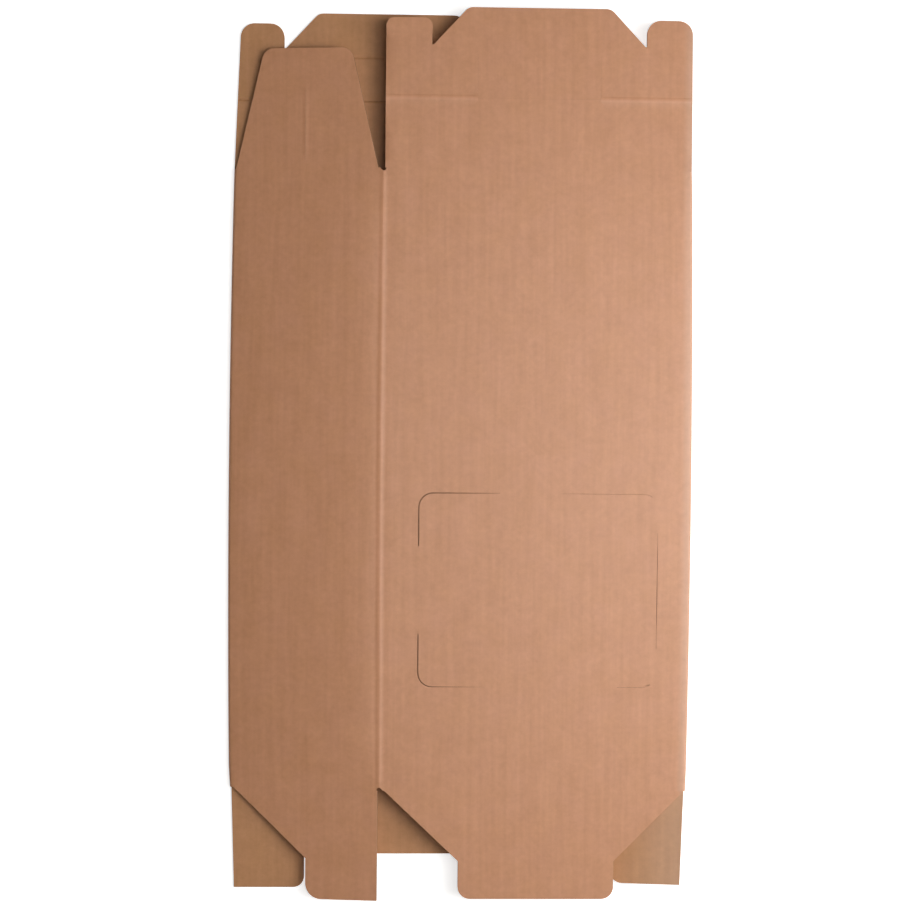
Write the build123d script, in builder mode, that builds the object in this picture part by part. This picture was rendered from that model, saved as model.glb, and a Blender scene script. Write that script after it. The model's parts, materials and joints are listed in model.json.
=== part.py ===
from build123d import *
import os
from math import cos, radians, sin, tan

# Carrier for two wine bottles, die-cut from one sheet of brown corrugated board, glued into a sleeve and
# folded flat. It lies on its back wide wall. +Y points to the handle end and +Z up, out of the front wall.
# The origin is the middle of the table side of the flat pack.

# The board and its creases
board = 1.6               # thickness of the board
kerf = 0.4                # gap left by the knife beside a part that is cut on three sides
slit = 0.5                # width of a slit that is cut and pressed shut again
bead_height = 0.3         # low round ridge that a crease raises on the outside
bead_width = 3.2
groove_depth = 0.5        # notch that the same crease leaves on the inside
groove_width = 2.4
fold_radius = 1.2         # at the middle of the board, where the flat pack is folded back on itself
relief_radius = 1.6       # round end of the gap between two flaps, at each end of the wall crease

# The sleeve
wide_wall = 176.0
narrow_wall = 86.6
body_height = 353.0
spring_open = 7.0         # degrees that the narrow walls stand up from flat

# The glued seam
glue_flap = 16.0
glue_taper = 15.0         # degrees
glue_margin = 4.0
seam_ramp = 1.2           # half of the length in which the glue flap climbs over the narrow wall's end
seam_gap = 0.6            # from the top of that climb to the narrow wall's cut end

# The perforated window of the front wall
window_width = 135.5
window_height = 110.0
window_radius = 8.0
window_sill = 59.0        # from the bottom crease
window_shift = 1.2        # from the middle of the wall towards the fold
window_top_bridge = 34.8
window_top_shift = 4.6
window_side_bridge = 50.0
window_bottom_bridge = 75.8
window_bottom_shift = 7.7
window_right_slit = 66.0
window_corner_cut = 3.4   # how far the right corners' bridges reach along the top and bottom edges

# The roof flap and the handle at the top of each wide wall
front_edge_gap = 0.8      # from the wall's edge to the edge of its top flaps
back_edge_gap = 0.3
roof_depth = 40.0
handle_height = 51.6
ear_height = 45.4
front_ear_width = 26.2
back_ear_width = 24.4
ear_radius = 4.8
right_ear_radius = 8.0    # of the ear on the right, seen from outside
notch_height = 30.3
notch_width = 0.8
shoulder_lean = 0.925     # sideways reach of the handle's sloping shoulder, per height
shoulder_radius = 6.0
back_inset = 3.6          # the back handle narrows by this on each side, to slip inside the front one
back_drop = 1.8           # and it is this much shorter
back_notch_drop = 0.8
hand_width = 70.0
hand_height = 25.0

# The flap with a slit at the top of each narrow wall
lock_height = 68.4
lock_crease_gap = 3.0     # from the narrow wall's crease to the flap's root
lock_fold_gap = 1.6       # the same from its fold
lock_slant = 16.0         # how far each side slopes in
lock_radius = 7.0
lock_slit_start = 4.5
lock_slit_shift = 1.0     # from the middle of the flap towards the fold
lock_slit_length = 41.0
lock_slit_width = 0.8

# The four flaps of the bottom
tab_gap = 2.7             # from the wall's edge to the edge of the tab flap at its root
tab_width = 88.6
tab_shift = 1.2           # from the middle of the wall towards the fold
tab_shoulder = 40.0
tab_depth = 61.5
tab_radius = 7.0
notch_clearance = 0.8     # between the tab and each leg of the notched flap, once closed
leg_gap = 1.1
leg_taper = 1.8
leg_depth = 57.8
leg_notch_depth = 38.5
leg_radius = 6.0
leg_notch_radius = 3.0
side_slant_gap = 2.6      # from the narrow wall's edge to the start of the sloping side
side_shoulder = 39.5
left_side_gap = 1.0       # from the other edge of that wall to the start of the square side
left_side_taper = 0.0     # how far the square side leans in at its end
left_side_width = 41.0
left_side_depth = 62.6
left_side_radius = 9.0
right_side_gap = 2.4
right_side_taper = 2.0
right_side_width = 41.7
right_side_depth = 54.0
right_side_radius = 7.0

# The flat pack's section: two wide walls, joined by two narrow ones that slope
lean = radians(spring_open)
outer_radius = fold_radius + board / 2
slope_run = narrow_wall - outer_radius
front_face = outer_radius + fold_radius * cos(lean) + slope_run * sin(lean) + board / 2


def crease_run(depth):
    """Length of the narrow wall's flat face, at a depth in the board, from the fold to the crease."""
    return (front_face - depth - outer_radius - (outer_radius - depth) * cos(lean)) / sin(lean)


def crease_offset(depth):
    """Distance in X from the fold's centre to the crease corner at a depth in the board."""
    return crease_run(depth) * cos(lean) - (outer_radius - depth) * sin(lean)


pack_width = wide_wall + outer_radius + crease_offset(0)
fold_centre = pack_width / 2 - outer_radius
wide_centre = pack_width / 2 - wide_wall / 2
handle_reach = roof_depth + handle_height
pack_length = handle_reach + body_height + max(tab_depth, left_side_depth)
top_line = pack_length / 2 - handle_reach
bottom_line = top_line - body_height

# The outside of each wall, seen from outside with the handle end up
slope = (cos(lean), 0, sin(lean))
slope_out = (-sin(lean), 0, cos(lean))
narrow_start = narrow_wall / 2 - outer_radius
narrow_x = -fold_centre - outer_radius * sin(lean) + narrow_start * cos(lean)
narrow_z = outer_radius + outer_radius * cos(lean) + narrow_start * sin(lean)
front_wall = Plane(origin=(wide_centre, 0, front_face), x_dir=(1, 0, 0), z_dir=(0, 0, 1))
back_wall = Plane(origin=(-wide_centre, 0, 0), x_dir=(-1, 0, 0), z_dir=(0, 0, -1))
left_wall = Plane(origin=(narrow_x, 0, narrow_z), x_dir=slope, z_dir=slope_out)
right_wall = Plane(
    origin=(-narrow_x, 0, front_face - narrow_z),
    x_dir=(-slope[0], 0, -slope[2]),
    z_dir=(-slope_out[0], 0, -slope_out[2]),
)
walls = {"front": front_wall, "back": back_wall, "left": left_wall, "right": right_wall}


def across(wall, height, shift=0):
    """A plane across the board at a height on a wall: its X is the way out, its Y the height."""
    foot = wall.from_local_coords((shift, height, 0))
    return Plane(origin=foot, x_dir=wall.z_dir, z_dir=-wall.x_dir)


def crease_groove(wall, height, length):
    """The notch that a level crease leaves on the inside of a wall, to be cut from both neighbours."""
    with BuildPart() as groove:
        with BuildSketch(across(wall, height)):
            Polygon(
                (groove_depth - board, 0),
                (-board - groove_depth, groove_width),
                (-board - groove_depth, -groove_width),
                align=None,
            )
        extrude(amount=length / 2, both=True)
    return groove.part


def crease_beads(wall, height, start, end, way):
    """One neighbour's half of the bead on a level crease, on both sides of the hand hole."""
    with BuildPart() as beads:
        for middle in ((start + end) / 2, -(start + end) / 2):
            with BuildSketch(across(wall, height, middle)):
                with BuildLine():
                    arc = TangentArc((bead_height, 0), (0, way * bead_width / 2), tangent=(0, way))
                    Polyline(arc @ 1, (0, 0), arc @ 0)
                make_face()
            extrude(amount=(end - start) / 2, both=True)
    return beads.part


def wall_loop(depth):
    """The closed outline of the sleeve's section at a depth in the board."""
    radius = outer_radius - depth
    crease = crease_offset(depth) - fold_centre
    with BuildLine() as loop:
        left = CenterArc((-fold_centre, outer_radius), radius, 90 + spring_open, 180 - spring_open)
        right = CenterArc(
            (fold_centre, front_face - outer_radius), radius, spring_open - 90, 180 - spring_open
        )
        Polyline(left @ 1, (-crease, depth), right @ 0)
        Polyline(right @ 1, (crease, front_face - depth), left @ 0)
    return loop.edges()


def keep_label(piece, label):
    """Name a piece and write its own file."""
    piece.label = label
    export_step(piece, f"parts/{label}.step")


os.makedirs("parts", exist_ok=True)

# The seam: the glue flap climbs from the back wide wall onto the inside of the right narrow wall
seam_x = fold_centre - crease_offset(0)


def on_seam(run, rise):
    """A point of the section, along the right narrow wall from the seam and up from its outside."""
    return (seam_x + run * slope[0] + rise * slope_out[0], run * slope[2] + rise * slope_out[2])


glue_face = Plane(
    origin=(seam_x + board * slope_out[0], (top_line + bottom_line) / 2, board * slope_out[2]),
    x_dir=slope,
    z_dir=slope_out,
)
glue_length = body_height - 2 * glue_margin
crease_x = -seam_x
window_y = bottom_line + window_sill + window_height / 2
corner_bridge = (window_height - window_right_slit) / 2
corner_y = (window_height - corner_bridge) / 2 + slit
end_grooves = [
    crease_groove(wall, height, width - 4 * outer_radius)
    for wall, width in (
        (front_wall, wide_wall),
        (back_wall, wide_wall),
        (left_wall, narrow_wall),
        (right_wall, narrow_wall),
    )
    for height in (top_line, bottom_line)
]

outer_loop = wall_loop(0)
inner_loop = wall_loop(board)

with BuildPart() as sleeve:
    with BuildSketch(Plane.XZ.offset(-top_line)):
        make_face(outer_loop)
        make_face(inner_loop, mode=Mode.SUBTRACT)
        Polygon(
            (seam_x - seam_ramp, 0),
            on_seam(seam_ramp, board),
            on_seam(seam_ramp, 2 * board),
            (seam_x - seam_ramp, board),
            align=None,
        )
        Polygon(
            (seam_x - seam_ramp, 0),
            (seam_x, -board),
            on_seam(seam_ramp + seam_gap, -board),
            on_seam(seam_ramp + seam_gap, board),
            on_seam(seam_ramp, board),
            align=None,
            mode=Mode.SUBTRACT,
        )
        with BuildLine():
            bead = ThreePointArc(
                (crease_x - bead_width / 2 * slope[0], front_face - bead_width / 2 * slope[2]),
                (crease_x, front_face + bead_height),
                (crease_x + bead_width / 2, front_face),
            )
            Polyline(bead @ 1, (crease_x, front_face - board / 2), bead @ 0)
        make_face()
        Polygon(
            (crease_x, front_face - board + groove_depth),
            (crease_x - groove_width / 2, front_face - board - groove_depth),
            (crease_x + groove_width / 2, front_face - board - groove_depth),
            align=None,
            mode=Mode.SUBTRACT,
        )
    extrude(amount=body_height)
    with BuildSketch(glue_face):
        Polygon(
            (seam_ramp, glue_length / 2),
            (seam_ramp, -glue_length / 2),
            (glue_flap, -glue_length / 2 + glue_flap * tan(radians(glue_taper))),
            (glue_flap, glue_length / 2 - glue_flap * tan(radians(glue_taper))),
            align=None,
        )
    extrude(amount=board)
    for groove in end_grooves:
        add(groove, mode=Mode.SUBTRACT)
    with BuildSketch(front_wall):
        with Locations((-wide_wall / 2, top_line), (-wide_wall / 2, bottom_line)):
            Circle(relief_radius)
    extrude(amount=board + bead_height, both=True, mode=Mode.SUBTRACT)
    with BuildSketch(front_wall):
        with Locations((window_shift, window_y)):
            RectangleRounded(window_width + slit, window_height + slit, window_radius + slit / 2)
            RectangleRounded(
                window_width - slit, window_height - slit, window_radius - slit / 2, mode=Mode.SUBTRACT
            )
        with Locations((window_shift - window_top_shift, window_y + window_height / 2)):
            Rectangle(window_top_bridge, window_radius, mode=Mode.SUBTRACT)
        with Locations((window_shift + window_bottom_shift, window_y - window_height / 2)):
            Rectangle(window_bottom_bridge, window_radius, mode=Mode.SUBTRACT)
        with Locations((window_shift - window_width / 2, window_y)):
            Rectangle(window_radius, window_side_bridge, mode=Mode.SUBTRACT)
        with Locations(
            (window_shift + window_width / 2, window_y + corner_y),
            (window_shift + window_width / 2, window_y - corner_y),
        ):
            Rectangle(2 * window_corner_cut, corner_bridge + 2 * slit, mode=Mode.SUBTRACT)
    extrude(amount=-board, mode=Mode.SUBTRACT)
keep_label(sleeve.part, "sleeve")

# A roof flap, a handle and a hand-hole flap at the top of each wide wall
crease_line = top_line + roof_depth
hand_line = crease_line + hand_height

for side, edge_gap, inset, ear_width, drop, notch_drop in (
    ("front", front_edge_gap, 0, front_ear_width, 0, 0),
    ("back", back_edge_gap, back_inset, back_ear_width, back_drop, back_notch_drop),
):
    wall = walls[side]
    ear_line = crease_line + ear_height - drop
    notch_line = crease_line + notch_height - notch_drop
    handle_line = crease_line + handle_height - drop
    root_half = wide_wall / 2 - edge_gap
    crease_half = root_half - inset * roof_depth / handle_reach
    ear_top_half = root_half - inset * (ear_line - top_line) / handle_reach
    ear_half = root_half - inset - ear_width
    shoulder_half = ear_half - notch_width - shoulder_lean * (handle_line - notch_line)
    roof_groove = crease_groove(wall, top_line, wide_wall)
    handle_groove = crease_groove(wall, crease_line, wide_wall)
    hand_groove = crease_groove(wall, hand_line, hand_width)
    roof_beads = crease_beads(wall, crease_line, hand_width / 2, crease_half, -1)
    handle_beads = crease_beads(wall, crease_line, hand_width / 2, crease_half, 1)

    with BuildPart() as roof_flap:
        with BuildSketch(wall):
            Polygon(
                (root_half, top_line),
                (crease_half, crease_line),
                (-crease_half, crease_line),
                (-root_half, top_line),
                align=None,
            )
        extrude(amount=-board)
        if side == "front":
            add(roof_beads)
        add(roof_groove, mode=Mode.SUBTRACT)
        add(handle_groove, mode=Mode.SUBTRACT)
    keep_label(roof_flap.part, f"{side}_roof_flap")

    with BuildPart() as handle:
        with BuildSketch(wall) as outline:
            with BuildLine():
                half = Polyline(
                    (0, crease_line),
                    (crease_half, crease_line),
                    (ear_top_half, ear_line),
                    (ear_half, ear_line),
                    (ear_half, notch_line),
                    (ear_half - notch_width, notch_line),
                    (shoulder_half, handle_line),
                    (0, handle_line),
                )
                mirror(half, about=Plane.YZ)
            make_face()
            for way, radius in ((-1, ear_radius), (1, right_ear_radius)):
                tips = outline.vertices().filter_by_position(Axis.Y, ear_line, ear_line)
                fillet(tips.filter_by(lambda tip: tip.X * way > 0), radius)
            fillet(outline.vertices().group_by(Axis.Y)[-1], shoulder_radius)
            with Locations((0, crease_line)):
                Rectangle(hand_width, hand_height, align=(Align.CENTER, Align.MIN), mode=Mode.SUBTRACT)
        extrude(amount=-board)
        if side == "front":
            add(handle_beads)
        add(handle_groove, mode=Mode.SUBTRACT)
        add(hand_groove, mode=Mode.SUBTRACT)
    keep_label(handle.part, f"{side}_handle")

    with BuildPart() as hand_flap:
        with BuildSketch(wall):
            with Locations((0, hand_line)):
                Rectangle(hand_width - 2 * kerf, hand_height - kerf, align=(Align.CENTER, Align.MAX))
        extrude(amount=-board)
        add(hand_groove, mode=Mode.SUBTRACT)
    keep_label(hand_flap.part, f"{side}_hand_flap")

# The slotted flap at the top and the side flap at the bottom of each narrow wall
lock_crease_side = narrow_wall / 2 - lock_crease_gap
lock_fold_side = lock_fold_gap - narrow_wall / 2
lock_slit_x = (lock_crease_side + lock_fold_side) / 2 - lock_slit_shift

for side, facing, gap, taper, width, depth, radius in (
    ("left", 1, left_side_gap, left_side_taper, left_side_width, left_side_depth, left_side_radius),
    ("right", -1, right_side_gap, right_side_taper, right_side_width, right_side_depth, right_side_radius),
):
    wall = walls[side]
    top_groove = crease_groove(wall, top_line, narrow_wall)
    bottom_groove = crease_groove(wall, bottom_line, narrow_wall)

    with BuildPart() as lock_flap:
        with BuildSketch(wall) as outline:
            Polygon(
                (lock_crease_side, top_line),
                (lock_crease_side - lock_slant, top_line + lock_height),
                (lock_fold_side + lock_slant, top_line + lock_height),
                (lock_fold_side, top_line),
                align=None,
            )
            fillet(outline.vertices().group_by(Axis.Y)[-1], lock_radius)
            with Locations((lock_slit_x, top_line + lock_slit_start)):
                Rectangle(
                    lock_slit_width,
                    lock_slit_length,
                    align=(Align.CENTER, Align.MIN),
                    mode=Mode.SUBTRACT,
                )
        extrude(amount=-board)
        add(top_groove, mode=Mode.SUBTRACT)
    keep_label(lock_flap.part, f"{side}_lock_flap")

    square_side = facing * (narrow_wall / 2 - gap)
    tab_side = square_side - facing * width
    with BuildPart() as side_flap:
        with BuildSketch(wall) as outline:
            Polygon(
                (square_side, bottom_line),
                (square_side - facing * taper, bottom_line - depth),
                (tab_side, bottom_line - depth),
                (tab_side, bottom_line - side_shoulder),
                (facing * (side_slant_gap - narrow_wall / 2), bottom_line),
                align=None,
            )
            lowest = outline.vertices().group_by(Axis.Y)[0]
            fillet(lowest.sort_by(Axis.X)[0 if facing > 0 else -1], radius)
        extrude(amount=-board)
        add(bottom_groove, mode=Mode.SUBTRACT)
    keep_label(side_flap.part, f"{side}_bottom_flap")

# The tab flap of the front wall, and the notched flap of the back wall that the tab slips into
tab_root = wide_wall / 2 - tab_gap
tab_half = tab_width / 2
leg_root = wide_wall / 2 - leg_gap
notch_right = tab_half + notch_clearance
notch_left = -notch_right - tab_shift
tab_groove = crease_groove(front_wall, bottom_line, wide_wall)
leg_groove = crease_groove(back_wall, bottom_line, wide_wall)

with BuildPart() as tab_flap:
    with BuildSketch(front_wall) as outline:
        Polygon(
            (tab_root, bottom_line),
            (tab_shift + tab_half, bottom_line - tab_shoulder),
            (tab_shift + tab_half, bottom_line - tab_depth),
            (tab_shift - tab_half, bottom_line - tab_depth),
            (tab_shift - tab_half, bottom_line - tab_shoulder),
            (-tab_root, bottom_line),
            align=None,
        )
        fillet(outline.vertices().group_by(Axis.Y)[0], tab_radius)
    extrude(amount=-board)
    add(tab_groove, mode=Mode.SUBTRACT)
keep_label(tab_flap.part, "bottom_tab_flap")

with BuildPart() as notched_flap:
    with BuildSketch(back_wall) as outline:
        Polygon(
            (leg_root, bottom_line),
            (leg_root - leg_taper, bottom_line - leg_depth),
            (notch_right, bottom_line - leg_depth),
            (notch_right, bottom_line - leg_notch_depth),
            (notch_left, bottom_line - leg_notch_depth),
            (notch_left, bottom_line - leg_depth),
            (leg_taper - leg_root, bottom_line - leg_depth),
            (-leg_root, bottom_line),
            align=None,
        )
        feet = outline.vertices().group_by(Axis.Y)[0].sort_by(Axis.X)
        fillet(feet[1:3], leg_radius)
        fillet(outline.vertices().group_by(Axis.Y)[-2], leg_notch_radius)
    extrude(amount=-board)
    add(leg_groove, mode=Mode.SUBTRACT)
keep_label(notched_flap.part, "bottom_notched_flap")
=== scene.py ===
"""Looks for a two-bottle carrier box of brown corrugated board, glued and folded flat.

The CAD frame gives the shape and place of every piece. Here each piece of board gets its crushed
cut edges, its slight waves and sags, its creases with rows of cuts beside them, and its kraft
paper.
"""

import json
from math import atan2, copysign, exp, hypot, pi, radians, sin, tau

import bmesh
import bpy
from bpy.props import FloatProperty, FloatVectorProperty, PointerProperty
from mathutils import Matrix, Vector, noise

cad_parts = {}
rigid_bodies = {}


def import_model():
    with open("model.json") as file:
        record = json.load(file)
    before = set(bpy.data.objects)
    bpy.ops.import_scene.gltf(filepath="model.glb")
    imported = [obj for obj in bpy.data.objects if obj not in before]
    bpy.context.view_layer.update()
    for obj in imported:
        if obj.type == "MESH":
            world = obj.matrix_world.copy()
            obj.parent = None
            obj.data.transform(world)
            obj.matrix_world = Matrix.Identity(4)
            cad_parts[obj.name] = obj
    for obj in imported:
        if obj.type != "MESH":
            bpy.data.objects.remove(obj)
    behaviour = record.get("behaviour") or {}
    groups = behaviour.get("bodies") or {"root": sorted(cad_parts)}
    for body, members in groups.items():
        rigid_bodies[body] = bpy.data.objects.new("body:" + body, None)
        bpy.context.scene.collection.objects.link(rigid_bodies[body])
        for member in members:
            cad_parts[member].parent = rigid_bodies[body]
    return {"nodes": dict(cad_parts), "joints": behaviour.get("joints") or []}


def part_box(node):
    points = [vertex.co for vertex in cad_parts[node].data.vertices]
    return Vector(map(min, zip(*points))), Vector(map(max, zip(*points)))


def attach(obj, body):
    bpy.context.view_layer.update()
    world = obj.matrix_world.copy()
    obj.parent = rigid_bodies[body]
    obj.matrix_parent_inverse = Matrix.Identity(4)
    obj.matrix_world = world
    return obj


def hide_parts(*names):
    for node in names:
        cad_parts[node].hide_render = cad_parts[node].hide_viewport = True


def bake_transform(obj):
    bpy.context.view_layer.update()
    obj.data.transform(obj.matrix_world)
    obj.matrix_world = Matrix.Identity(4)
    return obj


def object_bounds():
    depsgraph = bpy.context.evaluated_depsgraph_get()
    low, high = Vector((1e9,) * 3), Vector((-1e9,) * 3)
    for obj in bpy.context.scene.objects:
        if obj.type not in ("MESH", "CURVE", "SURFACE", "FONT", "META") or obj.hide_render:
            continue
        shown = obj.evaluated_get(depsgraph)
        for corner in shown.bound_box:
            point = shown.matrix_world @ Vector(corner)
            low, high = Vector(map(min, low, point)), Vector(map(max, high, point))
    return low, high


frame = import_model()
cad_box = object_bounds()

bl_info = {
    "name": "Corrugated carrier box",
    "version": (1, 0, 0),
    "blender": (4, 5, 0),
    "location": "3D View > Sidebar > Carrier box",
    "description": "Builds the board pieces of a flat-packed carrier box around its CAD frame",
    "category": "Object",
}

MM = 0.001

# The sheet, as the CAD frame has it
BOARD = 1.6 * MM
FOLD_RADIUS = 2.0 * MM          # outside of the two folds that the flat pack lies in
FOLD_MIDDLE = 1.2 * MM          # the same at the middle of the board
WIDE_HALF = 88 * MM
NARROW_HALF = 43.3 * MM
WALL_START = {"front": 0.0, "left": -131.3 * MM, "right": 130.9 * MM, "back": -262.2 * MM}
CREASE_PLACE = -88 * MM         # of the crease between front and left wall, in the flat sheet
RIGHT_FOLD_START = 86 * MM      # where the right outer fold starts in the flat sheet
LEFT_FOLD_END = -176.2 * MM     # where the left one ends
SHEEN_FOLD_PLACE = 87.5 * MM          # the right outer fold, where a painted sheen makes the paper pale
WALL_JOINT = {
    "front": "front_roof_fold",
    "left": "left_lock_fold",
    "right": "right_lock_fold",
    "back": "back_roof_fold",
}
HAND_HALF = 35 * MM
HAND_HEIGHT = 25 * MM
KNIFE_GAP = 0.4 * MM            # what the CAD leaves round the hand-hole flap
LOCK_SLIT_PLACE = -1.7 * MM     # of the slit in each lock flap, from the middle of its wall
LOCK_SLIT_HALF = 0.4 * MM
LOCK_SLIT_REACH = 46 * MM       # from the crease to past the slit's far end
WINDOW_MIDDLE = (1.2 * MM, 114 * MM)    # from the front wall's middle and from its bottom crease
WINDOW_HALF = (67.75 * MM, 55 * MM)
WINDOW_RADIUS = 8 * MM
WINDOW_SLIT_HALF = 0.25 * MM
WINDOW_SIDE_HALF = 33 * MM      # half the length of the slit at the window's right side
WINDOW_LEFT = 66 * MM           # from the front wall's middle to the window's left side
WINDOW_LOW_REACH = 14 * MM      # how far along the window's bottom its slit stays open
WINDOW_RIGHT_REACH = 40 * MM    # from the front wall's middle to where a slit counts as a right one

# How the shapes are made
WELD = 0.001 * MM               # points nearer than this are one
CUT_SLACK = 0.002 * MM          # points nearer to a cut than this are on it
FLAT_ANGLE = radians(0.5)       # faces that differ less are one flat face
CUT_ANGLE = radians(50)         # edges that turn more were cut by the die
SHARP_ANGLE = radians(19)       # edges that turn more are shaded sharp
CREASE_ZONE = 2.5 * MM          # cut edges this near a crease carry on across it, unrounded
BEND_STEPS = 6                  # cuts in the board that bends
SPARE = 1 * MM                  # kept free between two sets of cuts
LOCK_CUT = 0.5 * MM             # spacing of the cuts beside a lock flap's slit
LOCK_CUTS = 7                   # how many on each side
RIDGE_START = 3 * MM            # from a lock flap's crease to where the slit's ridge starts
RIDGE_FADE = 4 * MM             # over which that ridge rises at both its ends
SAG_CUT = 1.2 * MM              # spacing of the cuts where the front sags
CREASE_CUT = 0.5 * MM           # spacing of the cuts across the crease's ridge
CREASE_REACH = 7.5 * MM         # how far from the crease those go
BOW_CUT = 3 * MM                # spacing of the cuts where the left wall bows
BOW_CUT_REACH = 30 * MM         # how far from the crease those go
BEAD_FADE = 7 * MM              # over which the crease's ridge fades at both its ends
FLAT_BEAD = 0.45                # share of their height that the other creases' beads lose
RIGHT_SQUEEZE = 0.72            # how much of the left fold's squeeze the right one has
STRAY_REACH = 30 * MM           # how far from the crease the board strays with it
RIGHT_SLIT_END = 0.24           # share of the right slit's opening that its ends keep
TABLE_HALF = 4.0                # half the width of the table, in metres
TABLE_GAP = 0.2 * MM            # how far the table lies below the box
SENSOR_WIDTH = 36               # of the camera, in mm
LAMPS = (                       # name, place, aim, width and height of each soft box, in metres
    ("side", (0.62, -0.02, 0.46), (0.02, 0, 0), 0.5, 0.9),
    ("high", (0.40, -0.02, 0.95), (0.02, 0, 0), 0.5, 0.9),
    ("top", (0.1, 0.85, 0.6), (0, 0, 0), 0.9, 0.3),
    ("low", (0.1, -0.85, 0.6), (0, 0, 0), 0.9, 0.3),
)
LINER_GLOSS = 0.7               # specular level of both liners
SHEEN_COLOUR = (0.85, 0.72, 0.62, 1)      # linear colour of kraft paled by a painted sheen
WAVE_OFFSET = Vector((3.7, 1.9, 0.4))   # where in the noise the walls' waves are taken


# Settings


def linear(hex_colour):
    """An sRGB hex colour as linear RGB."""
    parts = [int(hex_colour[i : i + 2], 16) / 255 for i in (1, 3, 5)]
    return tuple(c / 12.92 if c <= 0.04045 else ((c + 0.055) / 1.055) ** 2.4 for c in parts)


def length(name, description, default):
    """A length setting, in metres."""
    return FloatProperty(
        name=name, description=description, default=default, unit="LENGTH", precision=5
    )


def colour(name, description, hex_colour):
    """A colour setting with an sRGB hex default."""
    return FloatVectorProperty(
        name=name,
        description=description,
        default=linear(hex_colour),
        subtype="COLOR",
        size=3,
        min=0,
        max=1,
    )


def number(name, description, default, **options):
    """A plain setting."""
    return FloatProperty(name=name, description=description, default=default, **options)


class BoardSizes(bpy.types.PropertyGroup):
    """Sizes of what the board shows beyond its CAD shape."""

    grid: length("Grid", "Spacing of the cuts that let the board bend", 6 * MM)
    rim: length("Crushed rim", "How far the die rounds each cut edge", 0.18 * MM)
    lip: length("Lip", "How far the knife rounds the sides of a shut slit", 0.05 * MM)
    cut_gap: length("Slit", "Half of the gap of a slit that is pressed shut", 0.02 * MM)
    open_gap: length("Open slit", "The same at the window's left side, which is open", 0.23 * MM)
    right_gap: length("Right slit", "How much wider the right slit is halfway along", 0.1 * MM)
    open_reach: length("Open reach", "How far along the window's top that slit stays open", 65 * MM)
    bend: length("Bend", "Length of board that bends when a flap opens", 3 * MM)
    wave: length("Wave height", "How far the walls wave out of flat", 0.3 * MM)
    wave_size: length("Wave size", "Distance over which they do so", 85 * MM)
    wave_fade: length("Wave fade", "Distance from a fold where the waves start", 14 * MM)
    sag: length("Sag", "How far the front sags beside its outer fold", 0.45 * MM)
    sag_width: length("Sag width", "How far from the fold the sag starts", 9 * MM)
    sag_fade: length("Sag fade", "Distance from the end creases where the sag is full", 26 * MM)
    bow: length("Bow", "How far the left narrow wall bows out beside its crease", 1.0 * MM)
    bow_reach: length("Bow reach", "Distance from the crease to the top of the bow", 24 * MM)
    bead: length("Crease bead", "Height of the soft ridge between the two walls", 0.17 * MM)
    bead_reach: length("Bead reach", "Distance from that ridge's top to its two feet", 1.6 * MM)
    stray: length("Stray", "How far that crease strays to the side halfway along", 0.7 * MM)
    ridge: length("Slit ridge", "Height of the board beside the lock flaps' slits", 0.1 * MM)
    ridge_reach: length("Ridge reach", "Distance from the slit to the foot of that ridge", 1.1 * MM)
    twist: length("Twist", "How far the free corner of the right bottom flap hangs down", 3 * MM)
    squeeze: length("Squeezed fold", "How far a fold reaches out halfway along", 1.75 * MM)
    squeeze_end: length("Fold end", "How far a fold draws in towards its two ends", 0.35 * MM)
    squeeze_width: length("Squeeze width", "How far from the fold the board gives way", 60 * MM)
    drift: length("Drift", "How far both folds lie to the left at the bottom end", 1.0 * MM)
    pinch: length("Pinched end", "How much more the right fold draws in at its ends", 0.2 * MM)
    pinch_fade: length("Pinch fade", "How far the pinch reaches along the fold", 12 * MM)
    flute: length("Flute pitch", "Distance from one flute to the next", 3.3 * MM)
    liner: length("Liner", "Thickness of each paper, drawn thick enough to show", 0.3 * MM)


class BoardColours(bpy.types.PropertyGroup):
    """Colours of the papers."""

    outside: colour("Outside liner", "Kraft paper of the outside", "#C98E67")
    inside: colour("Inside liner", "Test liner of the inside, browner and yellower", "#BD8658")
    medium: colour("Cut paper", "Torn fibres of liners and fluting at a cut edge", "#B98F6B")
    hollow: colour("Hollow", "Shade between the flutes", "#5E4330")


class StudioSettings(bpy.types.PropertyGroup):
    """Camera, lamps and floor."""

    distance: length("Camera distance", "From the table to the camera", 1.0)
    side: length("Side shift", "Shift of the view to the side", -0.872 * MM)
    rise: length("Rise", "Shift of the view along the box", 4.408 * MM)
    pitch: number("Pitch", "Turn about X", 0.0034943, subtype="ANGLE")
    yaw: number("Yaw", "Turn about Y", 0.0306139, subtype="ANGLE")
    roll: number("Roll", "Turn about Z", -0.0077615, subtype="ANGLE")
    lens: number("Lens", "Focal length in mm", 67.72)
    side_power: number("Side lamp", "Power of the soft box at the right", 3.9)
    high_power: number("High lamp", "Power of the soft box above right", 5.6)
    top_power: number("Top lamp", "Power behind the handle end", 0.4)
    low_power: number("Low lamp", "Power before the bottom end", 0.7)
    fill: number("Fill", "Strength of the room's light", 0.05, min=0)
    floor: colour("Floor", "Pale table", "#F3F1EE")


# The sheet


class Wall:
    """One wall's outside plane. Flaps of a wall share it."""

    def __init__(self, name):
        joint = next(j for j in frame["joints"] if j["name"] == WALL_JOINT[name])
        self.name = name
        self.start = WALL_START[name]
        self.right = Vector(joint["axis"])
        self.out = self.right.cross(Vector((0, 1, 0)))
        self.origin = Vector(joint["pos_m"])
        self.half = WIDE_HALF if name in ("front", "back") else NARROW_HALF

    def place(self, point):
        """A point's distance across the flutes from the wall's middle, and its depth below it."""
        offset = point - self.origin
        return offset.dot(self.right), -offset.dot(self.out)


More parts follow.
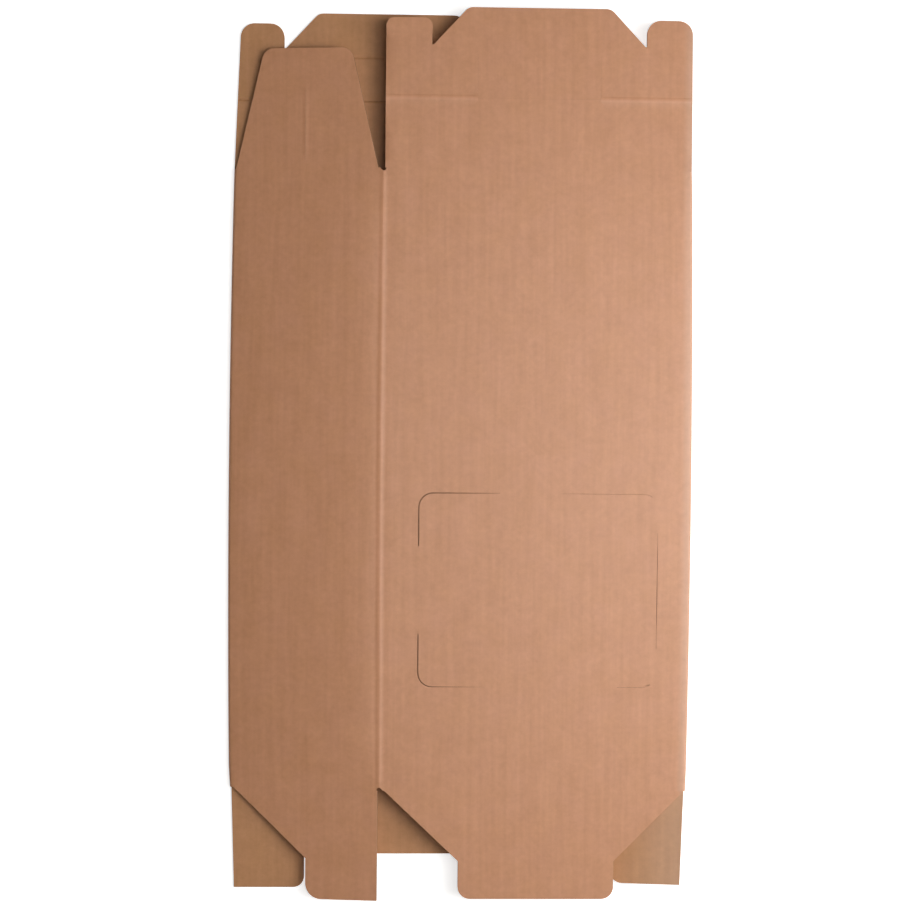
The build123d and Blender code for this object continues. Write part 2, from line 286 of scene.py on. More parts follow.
walls = {name: Wall(name) for name in WALL_JOINT}
joints = {joint["name"]: joint for joint in frame["joints"]}
top_line = joints["front_roof_fold"]["pos_m"][1]
bottom_line = joints["bottom_tab_fold"]["pos_m"][1]
front_face = joints["front_roof_fold"]["pos_m"][2]
fold_centre = cad_box[1][0] - FOLD_RADIUS
crease_x = walls["front"].origin.x - WIDE_HALF


def smooth(value):
    """Eases 0 to 1."""
    value = min(max(value, 0.0), 1.0)
    return value * value * (3 - 2 * value)


def on_fold(point, side):
    """Depth and turned angle of a point on an outer fold: side -1 is left, 1 is right."""
    centre_z = FOLD_RADIUS if side < 0 else front_face - FOLD_RADIUS
    x, z = side * (point.x - side * fold_centre), side * (point.z - centre_z)
    angle = atan2(x, z) if side > 0 else pi - atan2(x, z)
    return FOLD_RADIUS - hypot(x, z), angle


def on_sleeve(point):
    """The wall of a sleeve point, or None on a fold, and its place in the sheet."""
    if point.x > fold_centre:
        depth, angle = on_fold(point, 1)
        return None, Vector((RIGHT_FOLD_START + FOLD_MIDDLE * angle, point.y, depth))
    if point.x < -fold_centre:
        depth, angle = on_fold(point, -1)
        return None, Vector((LEFT_FOLD_END + FOLD_MIDDLE * (pi - angle), point.y, depth))
    slack = 0.06 * MM
    if front_face - point.z < BOARD + slack and point.x >= crease_x:
        wall = walls["front"]
    elif point.x < crease_x and walls["left"].place(point)[1] < BOARD + slack:
        wall = walls["left"]
    elif point.z < BOARD + slack and point.x < walls["right"].origin.x - NARROW_HALF - 0.5 * MM:
        wall = walls["back"]
    else:
        wall = walls["right"]
    across, depth = wall.place(point)
    if depth > BOARD + slack:       # the glue flap, on the inside of the right narrow wall
        depth -= BOARD
    return wall, Vector((wall.start + across, point.y, depth))


def wave(sizes, wall, point):
    """How far the board stands out of its flat wall at a point."""
    across, _ = wall.place(point)
    fade = smooth((wall.half - abs(across)) / sizes.wave_fade)
    where = Vector((wall.start + across, point.y, 0)) / sizes.wave_size
    height = noise.noise(where + WAVE_OFFSET)
    if wall.name == "back":         # it lies on the table, so it only waves up
        return -sizes.wave * fade * (height + 1) / 2
    return sizes.wave * fade * height


def beside_lock_slit(sizes, wall, point):
    """How far a lock flap's outside stands up beside its slit."""
    across, depth = wall.place(point)
    if depth > BOARD / 3:
        return 0.0
    rise = point.y - top_line
    away = ((across - LOCK_SLIT_PLACE) / sizes.ridge_reach) ** 2
    along = smooth((rise - RIDGE_START) / RIDGE_FADE)
    along *= smooth((LOCK_SLIT_REACH + SPARE - rise) / RIDGE_FADE)
    return sizes.ridge * along * (1 - away) * exp(-away / 2)


def sag(sizes, point):
    """How far a sleeve point sags beside the right fold."""
    reach = (point.x - (fold_centre + FOLD_RADIUS - sizes.sag_width)) / sizes.sag_width
    if reach <= 0 or point.z < front_face / 2:
        return 0.0
    end = min(top_line - point.y, point.y - bottom_line)
    return sizes.sag * reach * reach * smooth(end / sizes.sag_fade)


def squeeze(sizes, point):
    """How far a sleeve point moves to the side: the folds lie tighter, so wider, halfway along."""
    edge = fold_centre + FOLD_RADIUS - sizes.squeeze_width
    near = smooth((abs(point.x) - edge) / sizes.squeeze_width)
    along = min(max((top_line - point.y) / (top_line - bottom_line), 0.0), 1.0)
    share = RIGHT_SQUEEZE if point.x > 0 else 1.0
    out = sizes.squeeze * sin(pi * along) ** 0.8 * share - sizes.squeeze_end
    end = min(abs(top_line - point.y), abs(point.y - bottom_line))
    if point.x > 0:
        out -= sizes.drift * along**2 + sizes.pinch * (1 - smooth(end / sizes.pinch_fade))
    else:
        out += sizes.drift * along / 2 * smooth(end / sizes.pinch_fade)
    beside = smooth(1 - abs(point.x - crease_x) / STRAY_REACH)
    return copysign(near, point.x) * out - sizes.stray * beside * sin(pi * along) ** 2


def beside_crease(sizes, wall, sheet, point):
    """How far a sleeve point moves out near the crease: the wall bows, the bead is a ridge."""
    if wall is None or wall.name not in ("front", "left"):
        return 0.0
    away = abs(sheet.x - CREASE_PLACE)
    end = min(top_line - point.y, point.y - bottom_line)
    rise = 0.0
    if wall.name == "left":
        reach = away / sizes.bow_reach
        rise = sizes.bow * reach * exp(1 - reach) * smooth(end / sizes.sag_fade)
        rise *= smooth((2 * wall.half - away) / sizes.wave_fade)
    if sheet.z < BOARD / 3:
        across = (away / sizes.bead_reach) ** 2
        full = smooth(end / BEAD_FADE)
        rise += sizes.bead * full * (1 - across) * exp(-across / 2) + min(sheet.z, 0.0)
    return rise


# Papers


def add_node(tree, kind, inputs=None, **settings):
    """Adds a shader node. Inputs are values or sockets to link from, by socket name or number."""
    node = tree.nodes.new(kind)
    for name, value in settings.items():
        setattr(node, name, value)
    for name, value in (inputs or {}).items():
        if isinstance(value, bpy.types.NodeSocket):
            tree.links.new(value, node.inputs[name])
        else:
            node.inputs[name].default_value = value
    return node


def new_material(name):
    """An empty material with its output, and its node tree."""
    material = bpy.data.materials.new(name)
    material.use_nodes = True
    tree = material.node_tree
    tree.nodes.clear()
    return material, tree, add_node(tree, "ShaderNodeOutputMaterial")


def weighted(tree, start, *parts):
    """A value, plus each part times its weight. Values, parts and weights may be sockets."""
    total = start
    for part, weight in parts:
        scaled = add_node(tree, "ShaderNodeMath", {0: part, 1: weight}, operation="MULTIPLY")
        total = add_node(
            tree, "ShaderNodeMath", {0: total, 1: scaled.outputs[0]}, operation="ADD"
        ).outputs[0]
    return total


def sheet_millimetres(tree):
    """The place in the flat sheet, in mm: across the flutes, along them, depth."""
    sheet = add_node(tree, "ShaderNodeAttribute", attribute_name="sheet").outputs["Vector"]
    return add_node(
        tree, "ShaderNodeVectorMath", {0: sheet, 1: (1000, 1000, 1000)}, operation="MULTIPLY"
    ).outputs[0]


def grains(tree, place, size, detail=2.0, stretch=(1, 1, 1), roughness=0.55):
    """Noise from -0.5 to 0.5, with lumps of a size in mm."""
    scaled = add_node(
        tree,
        "ShaderNodeVectorMath",
        {0: place, 1: [share / size for share in stretch]},
        operation="MULTIPLY",
    ).outputs[0]
    lumps = add_node(
        tree,
        "ShaderNodeTexNoise",
        {"Vector": scaled, "Scale": 1.0, "Detail": detail, "Roughness": roughness},
    )
    return weighted(tree, -0.5, (lumps.outputs["Fac"], 1.0))


def kraft_liner(name, paper, sizes, contrast, washboard, roughness, sheen, reach):
    """Uncoated machine-glazed kraft linerboard: matt, with cloudy fibres and darker ones in it.

    It was glued to the flutes while damp and shrank between them, which gives the eye faint ribs.
    Contrast is how much the fibres differ, and washboard how strong the ribs are. Sheen is how pale
    a painted sheen makes the paper at the right outer fold, and reach how far that goes.
    """
    material, tree, output = new_material(name)
    place = sheet_millimetres(tree)
    cloud = grains(tree, place, 14, 4.0, roughness=0.75)
    mottle = grains(tree, place, 3.2, 3.0)
    fibre = grains(tree, place, 0.9, 2.0, (0.35, 1.6, 1))
    streak = grains(tree, place, 9, 2.0, (2.6, 0.12, 1))
    parts = add_node(tree, "ShaderNodeSeparateXYZ", {0: place})
    bead_highlight = add_node(      # painted highlight: the paper is made paler on a crease's bead, where it stands up
        tree,
        "ShaderNodeMapRange",
        {"Value": parts.outputs["Z"], "From Min": -0.02, "From Max": -0.28},
    ).outputs[0]
    phase = weighted(tree, 0.0, (parts.outputs["X"], tau / (sizes.flute / MM)), (cloud, 4.0))
    ribs = add_node(tree, "ShaderNodeMath", {0: phase}, operation="SINE").outputs[0]
    ribs = weighted(tree, 0.0, (ribs, weighted(tree, 0.6, (streak, 1.6))))

    # the ribs go into the colour too, as faint light and dark stripes: painted shade of the
    # washboard relief
    tone = weighted(
        tree,
        0.0,
        (cloud, 1.15),
        (mottle, 0.8),
        (fibre, 0.2),
        (streak, 0.85),
        (ribs, 0.02 * washboard),
        (bead_highlight, 0.28),
    )
    factor = add_node(
        tree, "ShaderNodeMath", {0: tone, 1: 0.5}, operation="ADD", use_clamp=True
    ).outputs[0]
    swing = [contrast * share for share in (0.85, 1.0, 1.5)]    # more in blue than in red
    dark = [level * (1 - part) for level, part in zip(paper, swing)] + [1]
    light = [min(1, level * (1 + part)) for level, part in zip(paper, swing)] + [1]
    tint = add_node(
        tree, "ShaderNodeMix", {"Factor": factor, 6: dark, 7: light}, data_type="RGBA"
    ).outputs[2]
    hue = weighted(tree, 0.5, (grains(tree, place, 17, 3.0, (1, 1, 5)), 2.0))
    cast = add_node(
        tree,
        "ShaderNodeMix",
        {"Factor": hue, 6: (1, 1, 0.955, 1), 7: (1, 1, 1.045, 1)},
        data_type="RGBA",
    ).outputs[2]
    tint = add_node(
        tree,
        "ShaderNodeMix",
        {"Factor": 1.0, 6: tint, 7: cast},
        data_type="RGBA",
        blend_type="MULTIPLY",
    ).outputs[2]
    # painted sheen: paler, whiter paper near the right outer fold, in place of the lamps' glint
    # there
    beside = add_node(
        tree,
        "ShaderNodeMath",
        {0: parts.outputs["X"], 1: SHEEN_FOLD_PLACE / MM},
        operation="SUBTRACT",
    ).outputs[0]
    beside = add_node(tree, "ShaderNodeMath", {0: beside}, operation="ABSOLUTE").outputs[0]
    painted_sheen = add_node(
        tree,
        "ShaderNodeMapRange",
        {"Value": beside, "From Min": 1.0, "From Max": reach / MM, "To Min": sheen, "To Max": 0.0},
        interpolation_type="SMOOTHSTEP",
    ).outputs[0]
    tint = add_node(
        tree, "ShaderNodeMix", {"Factor": painted_sheen, 6: tint, 7: SHEEN_COLOUR}, data_type="RGBA"
    ).outputs[2]

    height = weighted(tree, 0.0, (ribs, 0.003 * washboard), (mottle, 0.018), (fibre, 0.012))
    bump = add_node(tree, "ShaderNodeBump", {"Height": height, "Distance": MM, "Strength": 1.0})
    shader = add_node(
        tree,
        "ShaderNodeBsdfPrincipled",
        {
            "Base Color": tint,
            "Roughness": weighted(tree, roughness, (mottle, 0.12)),
            "Specular IOR Level": LINER_GLOSS,
            "IOR": 1.5,
            "Normal": bump.outputs[0],
        },
    )
    tree.links.new(shader.outputs[0], output.inputs["Surface"])
    return material


def flute_edge(colours, sizes):
    """Die-cut edge of fine-fluted board: two papers with the fluting between them.

    Across the flutes the eye sees a wave with dark hollows, along them a closed stripe.
    """
    material, tree, output = new_material("Cut edge of fine-fluted board")
    place = sheet_millimetres(tree)
    parts = add_node(tree, "ShaderNodeSeparateXYZ", {0: place})
    ragged = grains(tree, place, 0.7, 2.0)
    thick, liner = BOARD / MM, sizes.liner / MM
    swing = thick / 2 - liner
    phase = weighted(tree, 0.0, (parts.outputs["X"], tau / (sizes.flute / MM)))
    crest = add_node(tree, "ShaderNodeMath", {0: phase}, operation="SINE").outputs[0]
    medium = weighted(tree, thick / 2, (crest, swing * 0.9))
    away = add_node(
        tree, "ShaderNodeMath", {0: parts.outputs["Z"], 1: medium}, operation="SUBTRACT"
    ).outputs[0]
    away = add_node(tree, "ShaderNodeMath", {0: away}, operation="ABSOLUTE").outputs[0]
    away = weighted(tree, away, (ragged, 0.25))
    centre = weighted(tree, -thick / 2, (parts.outputs["Z"], 1.0))
    centre = add_node(tree, "ShaderNodeMath", {0: centre}, operation="ABSOLUTE").outputs[0]
    centre = weighted(tree, centre, (ragged, 0.15))
    on_medium = add_node(
        tree,
        "ShaderNodeMapRange",
        {
            "Value": away,
            "From Min": liner * 0.45,
            "From Max": liner * 0.9,
            "To Min": 1.0,
            "To Max": 0.0,
        },
        interpolation_type="SMOOTHSTEP",
    ).outputs[0]
    on_liner = add_node(
        tree,
        "ShaderNodeMapRange",
        {"Value": centre, "From Min": swing - 0.06, "From Max": swing + 0.06},
        interpolation_type="SMOOTHSTEP",
    ).outputs[0]
    paper = add_node(
        tree, "ShaderNodeMath", {0: on_medium, 1: on_liner}, operation="MAXIMUM"
    ).outputs[0]
    shade = weighted(tree, 0.0, (paper, 0.85), (ragged, 0.4))
    factor = add_node(tree, "ShaderNodeClamp", {"Value": shade}).outputs[0]
    tint = add_node(
        tree,
        "ShaderNodeMix",
        {"Factor": factor, 6: [*colours.hollow, 1], 7: [*colours.medium, 1]},
        data_type="RGBA",
    ).outputs[2]
    height = weighted(tree, 0.0, (paper, 0.25), (ragged, 0.05))
    bump = add_node(tree, "ShaderNodeBump", {"Height": height, "Distance": MM, "Strength": 0.8})
    shader = add_node(
        tree,
        "ShaderNodeBsdfPrincipled",
        {
            "Base Color": tint,
            "Roughness": 0.95,
            "Specular IOR Level": 0.2,
            "Normal": bump.outputs[0],
        },
    )
    tree.links.new(shader.outputs[0], output.inputs["Surface"])
    return material


def papers(context):
    """The three materials of the board, made once: outside, inside and cut edge."""
    sizes, colours = context.scene.board_sizes, context.scene.board_colours
    names = ("Kraft liner outside", "Test liner inside", "Cut edge of fine-fluted board")
    found = [bpy.data.materials.get(name) for name in names]
    if all(found):
        return found
    return [
        # the last two numbers of each liner are its painted sheen near the right outer fold and how
        # far that reaches
        kraft_liner(names[0], colours.outside, sizes, 0.13, 1.0, 0.5, 0.13, 6.5 * MM),
        kraft_liner(names[1], colours.inside, sizes, 0.16, 0.6, 0.63, 0.15, 45 * MM),
        flute_edge(colours, sizes),
    ]


# The pieces of board


def merged_copy(node):
    """A CAD node's mesh with its loose triangles joined into flat faces."""
    mesh = bmesh.new()
    mesh.from_mesh(frame["nodes"][node].data)
    bmesh.ops.remove_doubles(mesh, verts=mesh.verts, dist=WELD)
    bmesh.ops.dissolve_limit(mesh, angle_limit=FLAT_ANGLE, verts=mesh.verts, edges=mesh.edges)
    return mesh


def crush_rims(mesh, sizes, out_of, hinges, in_slit=lambda point: False):
    """Rounds the edges that the die has cut, and leaves the ends where a crease carries on.

    A cut edge is sharp and runs in the plane of its wall.
    """
    rims, lips = [], []
    for edge in mesh.edges:
        ends = [vert.co for vert in edge.verts]
        if any(all(abs(co.y - hinge) < CREASE_ZONE for co in ends) for hinge in hinges):
            continue
        if not edge.is_convex or edge.calc_face_angle(0) < CUT_ANGLE:
            continue
        along = (ends[1] - ends[0]).normalized()
        middle = (ends[0] + ends[1]) / 2
        if abs(along.dot(out_of(middle))) < 0.1:
            (lips if in_slit(middle) else rims).append(edge)
    for edges, offset in ((rims, sizes.rim), (lips, sizes.lip)):
        bmesh.ops.bevel(
            mesh,
            geom=edges,
            offset=offset,
            offset_type="OFFSET",
            segments=2,
            profile=0.5,
            affect="EDGES",
            material=-1,
            clamp_overlap=False,
        )


def cut_grid(mesh, across, along):
    """Cuts the board at each X and each Y given, so that it can bend there."""
    for axis, places in ((Vector((1, 0, 0)), across), (Vector((0, 1, 0)), along)):
        for place in places:
            bmesh.ops.bisect_plane(
                mesh,
                geom=mesh.verts[:] + mesh.edges[:] + mesh.faces[:],
                plane_co=axis * place,
                plane_no=axis,
                dist=CUT_SLACK,
            )


def steps(low, high, spacing):
    """Even places between two ends, with neither end."""
    count = max(1, round((high - low) / spacing))
    return [low + (high - low) * i / count for i in range(1, count)]


def paper_of(face, out, depth):
    """0 where a face is outside paper, 1 inside paper, 2 cut edge."""
    turn = face.normal.dot(out)
    if turn > 0.7 and depth < BOARD / 2:
        return 0
    if turn < -0.7 and depth > BOARD / 2:
        return 1
    return 2


def finish_board(context, mesh, node, place_of, out_of):
    """Makes the piece: its place in the sheet at rest, its papers, shading and final shape."""
    sizes = context.scene.board_sizes
    layer = mesh.verts.layers.float_vector.new("sheet")
    for vert in mesh.verts:
        vert[layer] = place_of(vert.co)[1]
    mesh.normal_update()
    for face in mesh.faces:
        middle = face.calc_center_median()
        depth = sum(vert[layer].z for vert in face.verts) / len(face.verts)
        face.material_index = paper_of(face, out_of(middle), depth)
        face.smooth = True
    for edge in mesh.edges:
        edge.smooth = edge.calc_face_angle(0) < SHARP_ANGLE
    for vert in mesh.verts:
        wall = place_of(vert.co)[0]
        shift = wall.out * wave(sizes, wall, vert.co) if wall else Vector()
        if node == "sleeve":
            shift += Vector((squeeze(sizes, vert.co), 0, -sag(sizes, vert.co)))
            if wall:
                shift += wall.out * beside_crease(sizes, wall, vert[layer], vert.co)
        elif node.endswith("lock_flap"):
            shift += wall.out * beside_lock_slit(sizes, wall, vert.co)
        elif vert[layer].z < 0:
            shift += wall.out * vert[layer].z * FLAT_BEAD
        vert.co += shift
    data = bpy.data.meshes.new(f"{node}_board")
    mesh.to_mesh(data)
    mesh.free()
    piece = bpy.data.objects.new(f"{node}_board", data)
    context.scene.collection.objects.link(piece)
    for material in papers(context):
        data.materials.append(material)
    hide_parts(node)
    return piece


def make_flap(
    context, node, wall_name, joint_name, close=None, in_slit=lambda across, rise: False
):
    """One flap, with rows of cuts beside its crease, where the board would bend.

    Close brings the sides of its slits together. In_slit tells whether a place is on a slit, from
    the distance across the wall and the height above the crease.
    """
    sizes = context.scene.board_sizes
    wall, joint = walls[wall_name], joints[joint_name]
    hinge = joint["pos_m"][1]
    low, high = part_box(node)
    way = 1 if abs(high.y - hinge) > abs(low.y - hinge) else -1
    inner_hinges = [j["pos_m"][1] for j in frame["joints"] if j["parent"] == joint["child"]]
    mesh = merged_copy(node)
    if close:
        close(mesh, sizes, wall, hinge)

    def slit_at(point):
        return in_slit(wall.place(point)[0], point.y - hinge)

    crush_rims(mesh, sizes, lambda point: wall.out, [hinge, *inner_hinges], slit_at)
    bends = [hinge + way * sizes.bend * i / BEND_STEPS for i in range(1, BEND_STEPS + 1)]
    across = steps(low.x, high.x, sizes.grid)
    if node.endswith("lock_flap"):
        slit = wall.origin.x + wall.right.x * LOCK_SLIT_PLACE
        across += [slit + step * LOCK_CUT for step in range(-LOCK_CUTS, LOCK_CUTS + 1) if step]
    rows = steps(low.y, high.y, sizes.grid)
    cut_grid(mesh, across, bends + [y for y in rows if abs(y - hinge) > sizes.bend + SPARE])

    def place_of(point):
        across, depth = wall.place(point)
        return wall, Vector((wall.start + across, point.y, depth))

    piece = finish_board(context, mesh, node, place_of, lambda point: wall.out)
    if node == "right_bottom_flap":
        for vert in piece.data.vertices:        # its free corner hangs down
            along = smooth((hinge - vert.co.y) / (high.y - low.y))
            beside = (vert.co.x - low.x) / (high.x - low.x)
            drop = sizes.twist * along * beside * (0.4 + 0.6 * beside)
            vert.co += Vector((0.2 * drop, -0.3 * drop, -drop))
    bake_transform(piece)
    return piece


def widen_to_hole(mesh, sizes, wall, hinge):
    """Grows the hand-hole flap until only the knife's cut is left round it."""
    reach = max(abs(vert.co.y - hinge) for vert in mesh.verts)
    wide = (HAND_HALF - sizes.cut_gap) / (HAND_HALF - KNIFE_GAP)
    tall = (reach + KNIFE_GAP - sizes.cut_gap) / reach
    centre = Vector((wall.origin.x, hinge, 0))
    bmesh.ops.scale(mesh, vec=(wide, tall, 1), space=Matrix.Translation(-centre), verts=mesh.verts)


def by_hand_hole(across, rise):
    """Whether a place is at the knife's cut round the hand-hole flap."""
    return abs(across) < HAND_HALF + 0.2 * MM and rise < HAND_HEIGHT


def by_lock_slit(across, rise):
    """Whether a place is on the lock flap's slit."""
    return abs(across - LOCK_SLIT_PLACE) < LOCK_SLIT_HALF + 0.1 * MM and 0 < rise < LOCK_SLIT_REACH


def close_lock_slit(mesh, sizes, wall, hinge):
    """Brings the two sides of the lock flap's slit together, as a knife leaves them."""
    for vert in mesh.verts:
        across, _ = wall.place(vert.co)
        if by_lock_slit(across, vert.co.y - hinge):
            offset = across - LOCK_SLIT_PLACE
            vert.co -= wall.right * offset * (1 - sizes.cut_gap / LOCK_SLIT_HALF)


def from_window(point):
    """Distance from the window's cut line, positive outside it, and the way out of the window."""
    wall = walls["front"]
    across = wall.place(point)[0] - WINDOW_MIDDLE[0]
    rise = point.y - bottom_line - WINDOW_MIDDLE[1]
    x = abs(across) - WINDOW_HALF[0] + WINDOW_RADIUS
    y = abs(rise) - WINDOW_HALF[1] + WINDOW_RADIUS
    if x > 0 and y > 0:
        away, way = hypot(x, y), Vector((x, y, 0)).normalized()
    else:
        away, way = (x, Vector((1, 0, 0))) if x > y else (y, Vector((0, 1, 0)))
    way = Vector((copysign(way.x, across), copysign(way.y, rise), 0))
    return away - WINDOW_RADIUS, way


def by_window_slit(point):
    """Whether a sleeve point is on a slit of the window."""
    on_front = point.z > front_face - BOARD - 0.1 * MM and point.x > crease_x + 5 * MM
    return on_front and abs(from_window(point)[0]) < WINDOW_SLIT_HALF + 0.05 * MM


def close_window(mesh, sizes):
    """Brings the sides of the window's slits together.

    The left ones stay open, and the right one a little, most halfway along.
    """
    wall = walls["front"]
    for vert in mesh.verts:
        if by_window_slit(vert.co):
            across, _ = wall.place(vert.co)
            high_up = vert.co.y - bottom_line > WINDOW_MIDDLE[1]
            reach = sizes.open_reach if high_up else WINDOW_LOW_REACH
            open_part = smooth((reach - across - WINDOW_LEFT) / reach)
            gap = sizes.cut_gap + (sizes.open_gap - sizes.cut_gap) * open_part
            rise = abs(vert.co.y - bottom_line - WINDOW_MIDDLE[1])
            share = max(RIGHT_SLIT_END, 1 - 1.4 * (rise / WINDOW_SIDE_HALF) ** 2)
            gap += sizes.right_gap * share * smooth(across / WINDOW_RIGHT_REACH)
            away, way = from_window(vert.co)
            vert.co -= way * away * (1 - gap / WINDOW_SLIT_HALF)


class BuildSleeve(bpy.types.Operator):
    """Build the four walls, the glue flap and the perforated window as one sheet"""

    bl_idname = "carrier_box.sleeve"
    bl_label = "Sleeve"

    def execute(self, context):
        sizes = context.scene.board_sizes
        low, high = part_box("sleeve")

        def out_of(point):
            wall, _ = on_sleeve(point)
            if wall:
                return wall.out
            side = 1 if point.x > 0 else -1
            centre_z = FOLD_RADIUS if side < 0 else front_face - FOLD_RADIUS
            return Vector((point.x - side * fold_centre, 0, point.z - centre_z)).normalized()

        rows = steps(low.y, high.y, sizes.grid)
        middle = bottom_line + WINDOW_MIDDLE[1]
        mesh = merged_copy("sleeve")
        # The right slit is cut first, so that its sides have points between their ends to move
        cut_grid(mesh, [], [y for y in rows if abs(y - middle) < WINDOW_SIDE_HALF - 2 * SPARE])
        close_window(mesh, sizes)
        crush_rims(mesh, sizes, out_of, [top_line, bottom_line], by_window_slit)
        start = fold_centre + FOLD_RADIUS - sizes.sag_width
        across = [x for x in steps(-fold_centre, fold_centre, sizes.grid) if x < start - SPARE]
        across += steps(start, fold_centre, SAG_CUT)
        across += steps(crease_x - CREASE_REACH, crease_x + CREASE_REACH, CREASE_CUT)
        across += steps(crease_x - BOW_CUT_REACH, crease_x - CREASE_REACH, BOW_CUT)
        cut_grid(mesh, across, rows)
        piece = finish_board(context, mesh, "sleeve", on_sleeve, out_of)
        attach(piece, "sleeve")
        return {"FINISHED"}


class BuildRoofFlaps(bpy.types.Operator):
    """Build the front and back halves of the roof"""

    bl_idname = "carrier_box.roof_flaps"
    bl_label = "Roof flaps"

    def execute(self, context):
        for side in ("front", "back"):
            make_flap(context, f"{side}_roof_flap", side, f"{side}_roof_fold")
        return {"FINISHED"}


class BuildHandles(bpy.types.Operator):
    """Build both halves of the carrying handle, with the flaps of the hand hole"""

    bl_idname = "carrier_box.handles"
    bl_label = "Handles"

    def execute(self, context):
        for side in ("front", "back"):
            make_flap(
                context, f"{side}_handle", side, f"{side}_handle_fold", None, by_hand_hole
            )
            make_flap(
                context,
                f"{side}_hand_flap",
                side,
                f"{side}_hand_flap_fold",
                widen_to_hole,
                lambda across, rise: True,
            )
        return {"FINISHED"}


class BuildLockFlaps(bpy.types.Operator):
    """Build the two slotted flaps that the ears of the handle hook into"""

    bl_idname = "carrier_box.lock_flaps"
    bl_label = "Lock flaps"

    def execute(self, context):
        for side in ("left", "right"):
            make_flap(
                context,
                f"{side}_lock_flap",
                side,
                f"{side}_lock_fold",
                close_lock_slit,
                by_lock_slit,
            )
        return {"FINISHED"}


class BuildBottomFlaps(bpy.types.Operator):
    """Build the four flaps of the bottom: tab, notch and two sides"""

    bl_idname = "carrier_box.bottom_flaps"
    bl_label = "Bottom flaps"

    def execute(self, context):
        for name, wall_name in (
            ("bottom_tab", "front"),
            ("bottom_notched", "back"),
            ("left_bottom", "left"),
            ("right_bottom", "right"),
        ):
            make_flap(context, f"{name}_flap", wall_name, f"{name}_fold")
        return {"FINISHED"}


# Studio


def floor_material(studio):
    """Matt white paper backdrop: it shows white to the eye and keeps the box's soft shadow."""
    material, tree, output = new_material("White paper backdrop")
    place = add_node(tree, "ShaderNodeTexCoord").outputs["Object"]
    far = add_node(tree, "ShaderNodeVectorMath", {0: place}, operation="LENGTH").outputs["Value"]
    lift = add_node(        # brighter past the box, so that the table shows white there
        tree,
        "ShaderNodeMapRange",
        {"Value": far, "From Min": 0.2, "From Max": 0.4, "To Min": 0.64, "To Max": 0.66},
    ).outputs[0]
    away = add_node(
        tree, "ShaderNodeMapRange", {"Value": far, "From Min": 0.5, "From Max": 1.5, "To Max": 0.6}
    ).outputs[0]
    path = add_node(tree, "ShaderNodeLightPath")
    seen = add_node(
        tree,
        "ShaderNodeMath",
        {0: path.outputs["Is Camera Ray"], 1: path.outputs["Is Glossy Ray"]},
        operation="MAXIMUM",
    ).outputs[0]
    strength = weighted(tree, 0.0, (weighted(tree, lift, (away, 1.0)), seen))
    glow = add_node(tree, "ShaderNodeEmission", {"Color": (1, 1, 1, 1), "Strength": strength})
    paper = add_node(
        tree,
        "ShaderNodeBsdfPrincipled",
        {"Base Color": [*studio.floor, 1], "Roughness": 0.9, "Specular IOR Level": 0.1},
    )
    both = add_node(tree, "ShaderNodeAddShader", {0: paper.outputs[0], 1: glow.outputs[0]})
    tree.links.new(both.outputs[0], output.inputs["Surface"])
    return material


def set_world(studio):
    """Even room light, which the camera sees as white."""
    world = bpy.data.worlds.new("Studio room")
    bpy.context.scene.world = world
    world.use_nodes = True
    tree = world.node_tree
    tree.nodes.clear()
    path = add_node(tree, "ShaderNodeLightPath")
    seen = add_node(
        tree,
        "ShaderNodeMath",
        {0: path.outputs["Is Camera Ray"], 1: path.outputs["Is Transmission Ray"]},
        operation="MAXIMUM",
    ).outputs[0]
    strength = add_node(
        tree, "ShaderNodeMapRange", {"Value": seen, "To Min": studio.fill, "To Max": 1.0}
    ).outputs[0]
    light = add_node(tree, "ShaderNodeBackground", {"Color": (1, 1, 1, 1), "Strength": strength})
    output = add_node(tree, "ShaderNodeOutputWorld")
    tree.links.new(light.outputs[0], output.inputs["Surface"])


def add_lamp(name, place, aim, size, size_y, power):
    """Adds a soft rectangular lamp that points at a spot."""
    data = bpy.data.lights.new(name, "AREA")
    data.shape = "RECTANGLE"
    data.size, data.size_y, data.energy = size, size_y, power
    lamp = bpy.data.objects.new(name, data)
    lamp.location = place
    lamp.rotation_euler = (Vector(aim) - Vector(place)).to_track_quat("-Z", "Y").to_euler()
    bpy.context.scene.collection.objects.link(lamp)


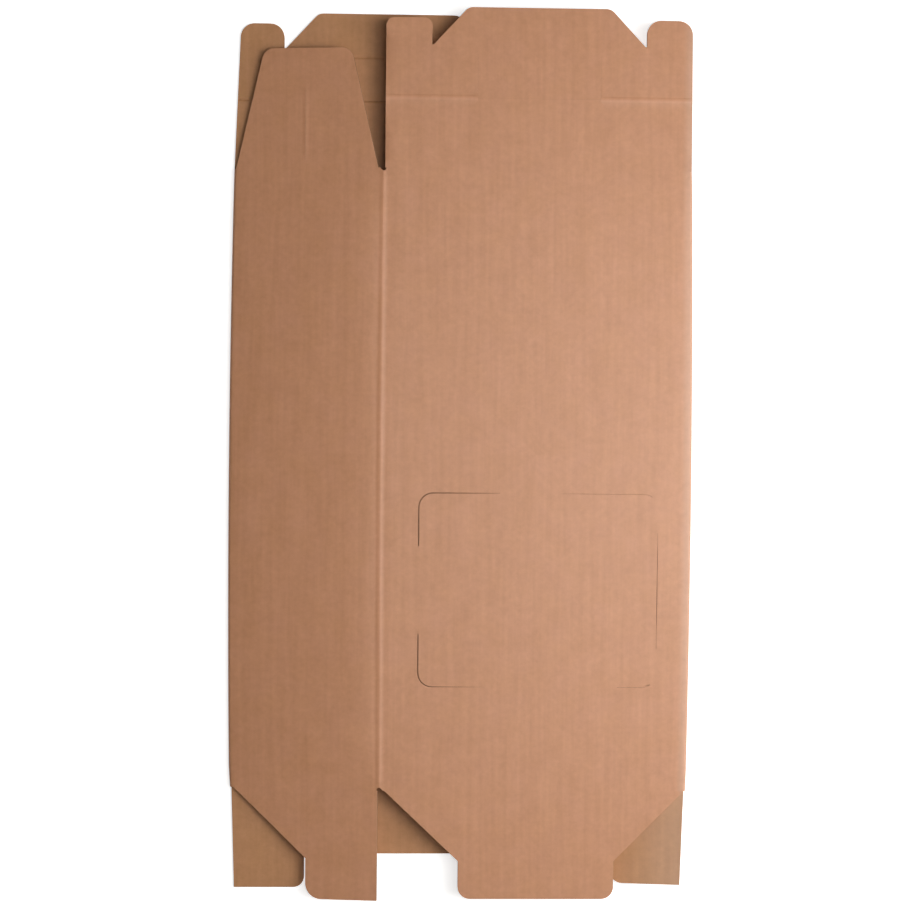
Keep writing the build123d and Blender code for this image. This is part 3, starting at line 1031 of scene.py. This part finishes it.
class BuildStage(bpy.types.Operator):
    """Build the white table, the soft light and the camera above the flat pack"""

    bl_idname = "carrier_box.stage"
    bl_label = "Stage"

    def execute(self, context):
        studio = context.scene.studio_settings
        mesh = bmesh.new()
        bmesh.ops.create_grid(mesh, x_segments=1, y_segments=1, size=TABLE_HALF)
        bmesh.ops.translate(mesh, vec=(0, 0, -TABLE_GAP), verts=mesh.verts)
        data = bpy.data.meshes.new("table")
        mesh.to_mesh(data)
        mesh.free()
        table = bpy.data.objects.new("table", data)
        data.materials.append(floor_material(studio))
        context.scene.collection.objects.link(table)
        set_world(studio)
        for name, place, aim, size, size_y in LAMPS:
            add_lamp(f"{name}_box", place, aim, size, size_y, getattr(studio, f"{name}_power"))

        turn = (
            Matrix.Rotation(studio.roll, 3, "Z")
            @ Matrix.Rotation(studio.yaw, 3, "Y")
            @ Matrix.Rotation(studio.pitch, 3, "X")
        ).transposed()
        place = turn @ Vector((-studio.side, -studio.rise, studio.distance))
        camera_data = bpy.data.cameras.new("camera")
        camera_data.lens = studio.lens
        camera_data.sensor_width = SENSOR_WIDTH
        camera = bpy.data.objects.new("camera", camera_data)
        camera.matrix_world = Matrix.Translation(place) @ turn.to_4x4()
        context.scene.collection.objects.link(camera)
        context.scene.camera = camera
        context.scene.view_settings.view_transform = "Standard"
        return {"FINISHED"}


class CarrierBoxPanel(bpy.types.Panel):
    """Settings and build buttons of the carrier box"""

    bl_idname = "VIEW3D_PT_carrier_box"
    bl_label = "Carrier box"
    bl_space_type = "VIEW_3D"
    bl_region_type = "UI"
    bl_category = "Carrier box"

    def draw(self, context):
        for group in ("board_sizes", "board_colours", "studio_settings"):
            settings = getattr(context.scene, group)
            for name in settings.bl_rna.properties.keys():
                if name not in ("rna_type", "name"):
                    self.layout.prop(settings, name)
        for operator in BUILDERS:
            self.layout.operator(operator.bl_idname)


BUILDERS = (BuildSleeve, BuildRoofFlaps, BuildHandles, BuildLockFlaps, BuildBottomFlaps, BuildStage)
CLASSES = (BoardSizes, BoardColours, StudioSettings, *BUILDERS, CarrierBoxPanel)


def register():
    for item in CLASSES:
        bpy.utils.register_class(item)
    bpy.types.Scene.board_sizes = PointerProperty(type=BoardSizes)
    bpy.types.Scene.board_colours = PointerProperty(type=BoardColours)
    bpy.types.Scene.studio_settings = PointerProperty(type=StudioSettings)


def unregister():
    del bpy.types.Scene.studio_settings
    del bpy.types.Scene.board_colours
    del bpy.types.Scene.board_sizes
    for item in reversed(CLASSES):
        bpy.utils.unregister_class(item)


def main():
    """Builds everything."""
    register()
    bpy.ops.carrier_box.stage()
    bpy.ops.carrier_box.sleeve()
    bpy.ops.carrier_box.roof_flaps()
    bpy.ops.carrier_box.handles()
    bpy.ops.carrier_box.lock_flaps()
    bpy.ops.carrier_box.bottom_flaps()


if __name__ == "__main__":
    main()
